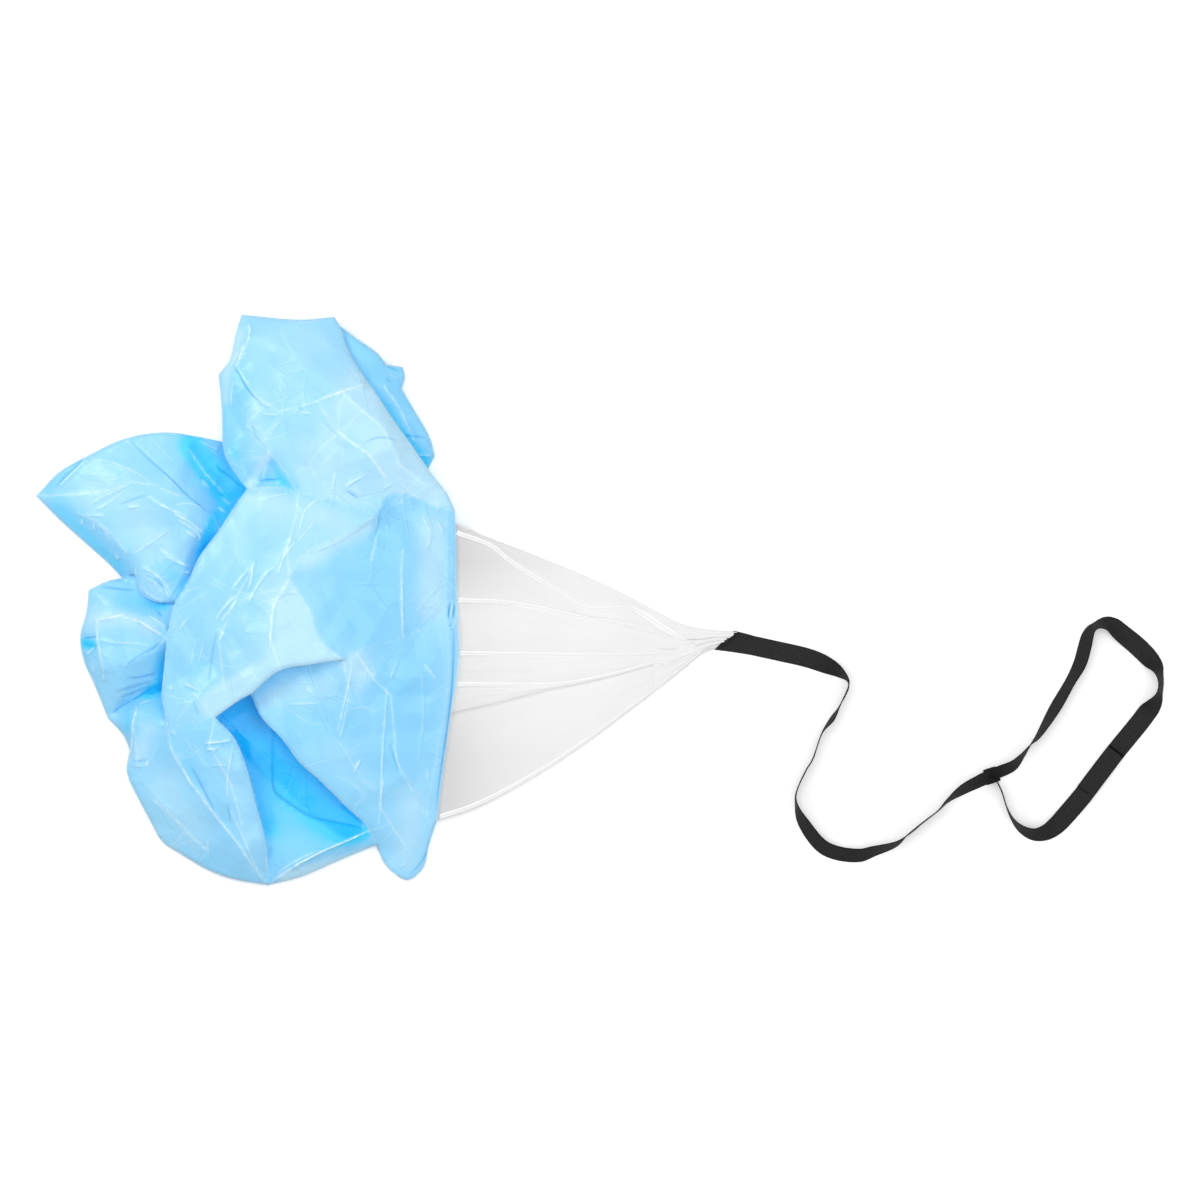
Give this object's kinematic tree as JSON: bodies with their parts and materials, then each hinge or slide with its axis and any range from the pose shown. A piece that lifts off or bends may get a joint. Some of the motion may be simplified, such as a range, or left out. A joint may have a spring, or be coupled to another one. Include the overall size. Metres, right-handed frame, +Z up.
{
  "type": "speed training parachute",
  "caption": "Speed training parachute lying collapsed, light blue canopy in folds, white net skirt gathered to an apex, black webbing leader and waist belt with hook and loop closure.",
  "frame": {"origin": "centre of the bounding box in plan, at floor height", "axes": "+X from the canopy towards the waist belt, +Y across the lay away from the canopy's long tongue, +Z up from the floor"},
  "size_m": [1.7477, 0.8846, 0.0894],
  "materials": {
    "canopy_cloth": "thin coated nylon with a soft sheen",
    "netting": "fine white knitted netting",
    "seam_tape": "white woven tape",
    "webbing": "black woven webbing, matt",
    "hook_and_loop": "black hook and loop pile"
  },
  "bodies": {
    "parachute": {"canopy_crown_panel": "canopy_cloth", "canopy_back_panel": "canopy_cloth", "canopy_left_panel": "canopy_cloth", "canopy_puff_panel": "canopy_cloth", "canopy_side_panel": "canopy_cloth", "canopy_lower_panel": "canopy_cloth", "canopy_front_panel": "canopy_cloth", "canopy_rim_panel": "canopy_cloth", "canopy_mouth_panel": "canopy_cloth", "canopy_inside_panel": "canopy_cloth", "rim_hem_upper": "canopy_cloth", "rim_hem_lower": "canopy_cloth", "canopy_under_layer": "canopy_cloth", "net_panel_1": "netting", "net_panel_2": "netting", "net_panel_3": "netting", "net_panel_4": "netting", "net_panel_5": "netting", "net_under_layer": "netting", "net_gather": "netting", "net_tape_1": "seam_tape", "net_tape_2": "seam_tape", "net_tape_3": "seam_tape", "net_tape_4": "seam_tape", "net_tape_5": "seam_tape", "leader_strap": "webbing", "belt_long_strap": "webbing", "belt_short_strap": "webbing", "loop_patch": "hook_and_loop"},
    "belt_tab": {"belt_tab": "webbing", "hook_patch": "hook_and_loop"}
  },
  "joints": [
    {"name": "belt_tab_peel", "type": "hinge", "parent": "parachute", "child": "belt_tab", "pos_m": [0.75323, -0.29544, 0.0072], "axis": [0.7998, -0.6002, 0], "range_deg": [0, 150]}
  ]
}
